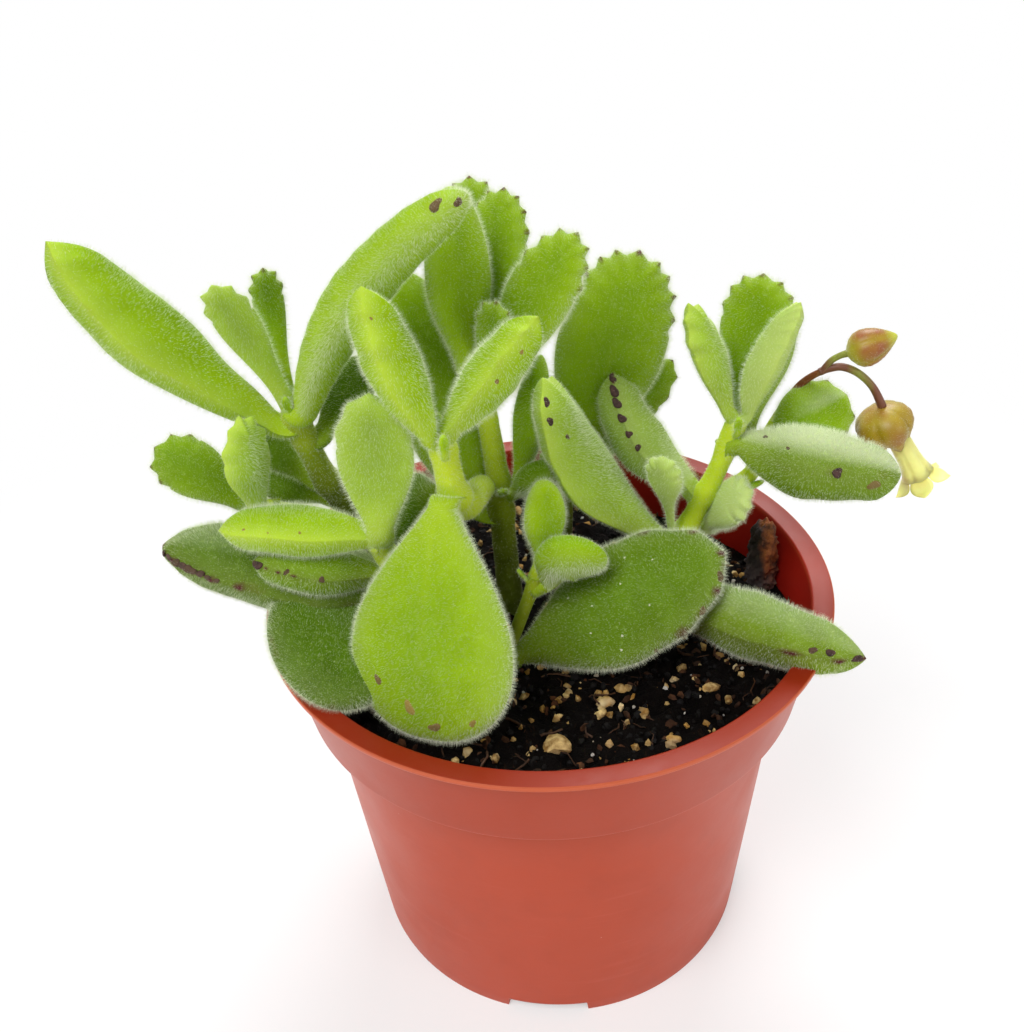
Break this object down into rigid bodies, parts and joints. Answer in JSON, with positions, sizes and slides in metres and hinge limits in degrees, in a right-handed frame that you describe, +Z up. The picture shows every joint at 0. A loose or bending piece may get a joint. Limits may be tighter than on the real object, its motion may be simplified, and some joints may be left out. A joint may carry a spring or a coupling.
{
  "type": "potted cotyledon",
  "caption": "Branching succulent with plump, furry, toothed leaves and a hanging yellow flower, planted in a red-brown plastic nursery pot.",
  "frame": {"origin": "on the ground, at the middle of the pot's underside", "axes": "+Z up; +X to the plant's right seen from the front, on the flower's side; +Y to the back"},
  "size_m": [0.1261, 0.09, 0.1328],
  "materials": {
    "pot_plastic": "satin",
    "soil": "matte",
    "stem": "matte",
    "leaf": "matte",
    "young_leaf": "matte",
    "flower_stalk": "satin",
    "sepal": "satin",
    "petal": "satin",
    "bark": "matte"
  },
  "bodies": {
    "root": {"pot": "pot_plastic", "soil": "soil", "main_stem": "stem", "front_branch": "stem", "left_branch": "stem", "front_left_branch": "stem", "left_shoot": "stem", "right_branch": "stem", "flower_stem": "stem", "back_branch": "stem", "rim_shoot": "stem", "ground_shoot": "stem", "centre_shoot": "stem", "left_leaf_long": "leaf", "left_leaf_young_front": "leaf", "left_leaf_young_back": "leaf", "left_leaf_arched": "young_leaf", "left_leaf_inner": "leaf", "left_leaf_back": "leaf", "left_leaf_low": "leaf", "front_left_leaf_upright": "leaf", "front_left_leaf_bright": "young_leaf", "front_left_leaf_under": "leaf", "front_left_leaf_long": "leaf", "front_left_leaf_rim": "leaf", "shoot_leaf_toothed": "leaf", "shoot_leaf_oval": "young_leaf", "front_leaf_left": "young_leaf", "front_leaf_right": "young_leaf", "front_leaf_hanging": "young_leaf", "front_leaf_behind": "leaf", "main_leaf_dark": "leaf", "crown_leaf_tall": "leaf", "crown_leaf_back": "leaf", "crown_leaf_middle": "leaf", "crown_leaf_right": "leaf", "crown_leaf_small": "leaf", "main_leaf_narrow": "leaf", "back_leaf_broad": "leaf", "back_leaf_low": "leaf", "right_leaf_clawed_front": "leaf", "right_leaf_clawed_back": "leaf", "right_leaf_fork_left": "young_leaf", "right_leaf_fork_right": "young_leaf", "right_leaf_furry": "leaf", "right_leaf_stalked": "young_leaf", "right_leaf_back": "leaf", "flower_leaf_toothed": "leaf", "flower_leaf_young": "young_leaf", "ground_leaf_broad": "leaf", "ground_leaf_right": "leaf", "centre_leaf_back": "leaf", "centre_leaf_upright": "young_leaf", "centre_leaf_side": "young_leaf", "bud_stalk": "flower_stalk", "calyx_stalk": "flower_stalk", "flower_bud": "sepal", "flower_calyx": "sepal", "flower_corolla": "petal", "woody_stub": "bark"}
  },
  "joints": []
}
